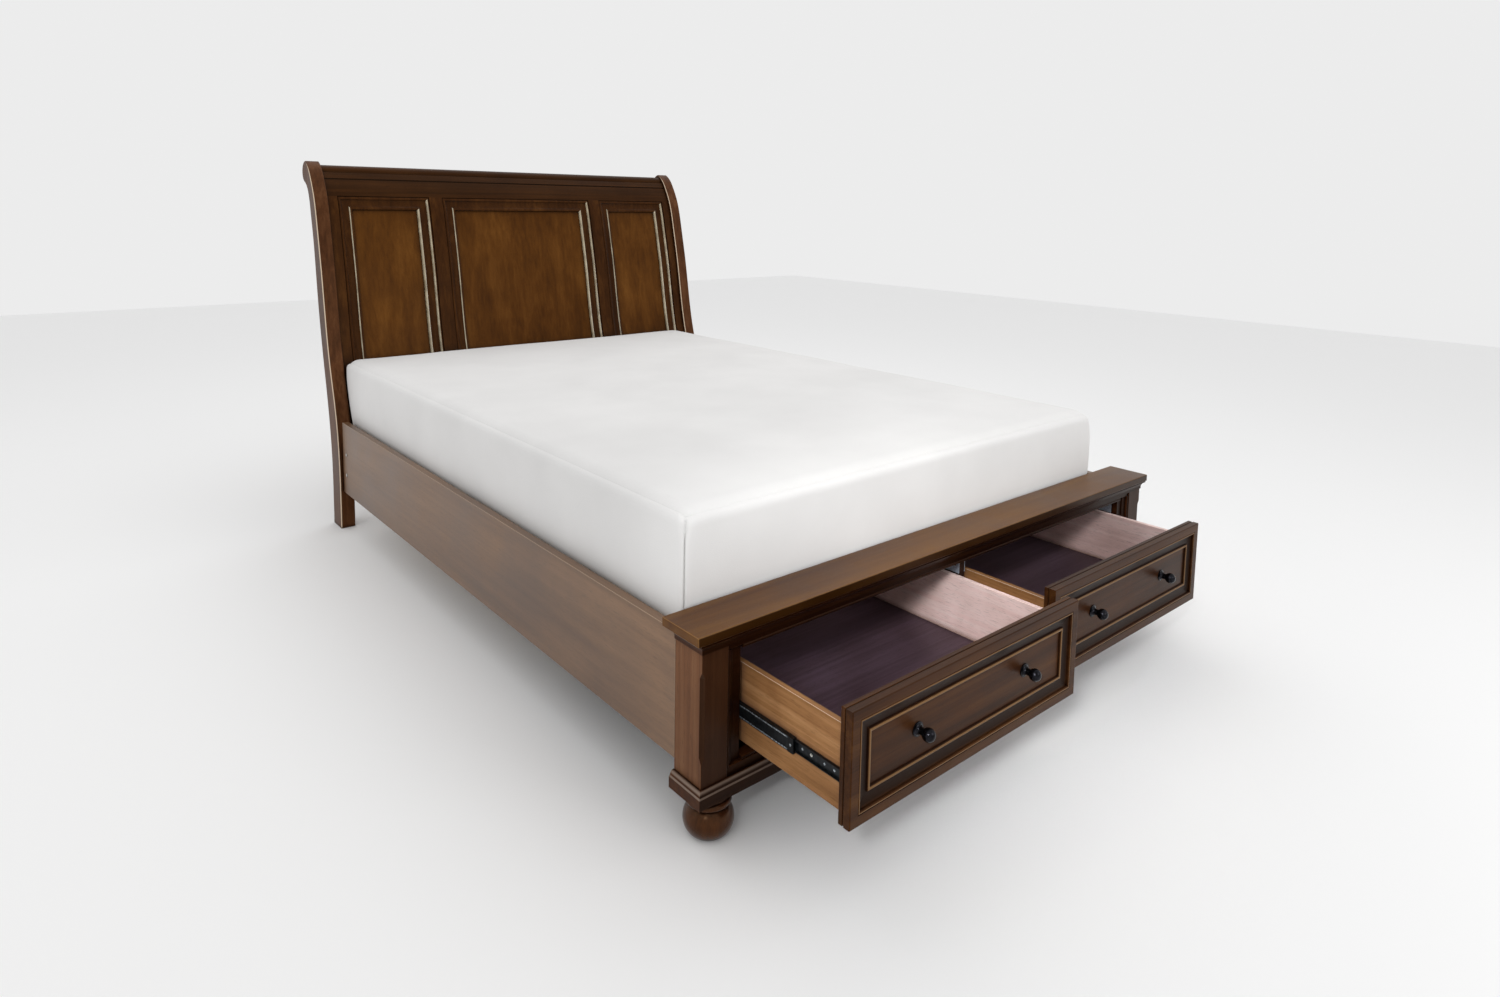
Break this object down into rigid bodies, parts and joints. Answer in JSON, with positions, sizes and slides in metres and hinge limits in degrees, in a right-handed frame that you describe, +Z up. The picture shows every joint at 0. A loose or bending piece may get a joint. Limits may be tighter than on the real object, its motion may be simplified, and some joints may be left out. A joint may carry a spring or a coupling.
{
  "type": "sleigh bed",
  "caption": "Queen-size sleigh bed with a curved panelled headboard, plain side rails, a low storage footboard on bun feet, drawers on ball-bearing slides, and a mattress.",
  "frame": {"origin": "on the floor, at the centre of the bed's overall box with both drawers standing open as at rest", "axes": "+Y from the footboard to the headboard, +X to the right seen from the foot, +Z up"},
  "size_m": [1.689, 2.8115, 1.341],
  "materials": {
    "stained_wood": "brown cherry stain under satin lacquer",
    "drawer_side_wood": "clear lacquered plywood",
    "drawer_bottom_ply": "dark printed plywood",
    "case_ply": "dark stained plywood",
    "pine": "planed pine",
    "knob_metal": "dark bronze, satin",
    "slide_steel": "black zinc",
    "zinc_steel": "zinc plated",
    "screw_steel": "zinc plated",
    "mattress_fabric": "white stretch knit"
  },
  "bodies": {
    "bed_frame": {"bed_slats": "pine", "centre_beam": "pine", "corner_brackets": "zinc_steel", "drawer_case_back": "case_ply", "drawer_case_bottom": "case_ply", "drawer_case_divider": "case_ply", "drawer_case_sides": "case_ply", "drawer_opening_frame": "stained_wood", "footboard_base_moulding": "stained_wood", "footboard_bottom_rail": "stained_wood", "footboard_cap": "stained_wood", "footboard_cap_moulding": "stained_wood", "footboard_left_post": "stained_wood", "footboard_right_post": "stained_wood", "footboard_top_rail": "stained_wood", "frame_screws_and_bolts": "screw_steel", "headboard_bottom_rail": "stained_wood", "headboard_centre_panel": "stained_wood", "headboard_centre_panel_moulding": "stained_wood", "headboard_crest": "stained_wood", "headboard_left_inner_stile": "stained_wood", "headboard_left_outer_stile": "stained_wood", "headboard_left_panel": "stained_wood", "headboard_left_panel_moulding": "stained_wood", "headboard_left_post": "stained_wood", "headboard_right_inner_stile": "stained_wood", "headboard_right_outer_stile": "stained_wood", "headboard_right_panel": "stained_wood", "headboard_right_panel_moulding": "stained_wood", "headboard_right_post": "stained_wood", "headboard_top_rail": "stained_wood", "left_bun_foot": "stained_wood", "left_side_rail": "stained_wood", "rail_hook_plates": "zinc_steel", "right_bun_foot": "stained_wood", "right_side_rail": "stained_wood", "slat_ledgers": "pine", "slide_cabinet_members": "slide_steel", "support_legs": "pine"},
    "left_drawer": {"left_drawer_back": "drawer_side_wood", "left_drawer_bottom": "drawer_bottom_ply", "left_drawer_front_frame": "stained_wood", "left_drawer_front_panel": "stained_wood", "left_drawer_knobs": "knob_metal", "left_drawer_left_side": "drawer_side_wood", "left_drawer_right_side": "drawer_side_wood", "left_drawer_screws": "screw_steel", "left_drawer_slide_members": "slide_steel"},
    "right_drawer": {"right_drawer_back": "drawer_side_wood", "right_drawer_bottom": "drawer_bottom_ply", "right_drawer_front_frame": "stained_wood", "right_drawer_front_panel": "stained_wood", "right_drawer_knobs": "knob_metal", "right_drawer_left_side": "drawer_side_wood", "right_drawer_right_side": "drawer_side_wood", "right_drawer_screws": "screw_steel", "right_drawer_slide_members": "slide_steel"},
    "left_slide_middle": {"left_slide_middle_members": "slide_steel"},
    "right_slide_middle": {"right_slide_middle_members": "slide_steel"},
    "mattress": {"mattress": "mattress_fabric"}
  },
  "joints": [
    {"name": "left_drawer_slide", "type": "slide", "parent": "bed_frame", "child": "left_drawer", "axis": [0, -1, 0], "range_m": [-0.279, 0.271]},
    {"name": "right_drawer_slide", "type": "slide", "parent": "bed_frame", "child": "right_drawer", "axis": [0, -1, 0], "range_m": [-0.221, 0.329]},
    {"name": "left_middle_slide", "type": "slide", "parent": "bed_frame", "child": "left_slide_middle", "axis": [0, -1, 0], "range_m": [-0.1674, 0.1626]},
    {"name": "right_middle_slide", "type": "slide", "parent": "bed_frame", "child": "right_slide_middle", "axis": [0, -1, 0], "range_m": [-0.1326, 0.1974]},
    {"name": "mattress_lift", "type": "slide", "parent": "bed_frame", "child": "mattress", "axis": [0, 0, 1], "range_m": [0, 0.25]}
  ],
  "couplings": [
    {"joint": "left_middle_slide", "follows": "left_drawer_slide", "ratio": 0.6},
    {"joint": "right_middle_slide", "follows": "right_drawer_slide", "ratio": 0.6}
  ]
}
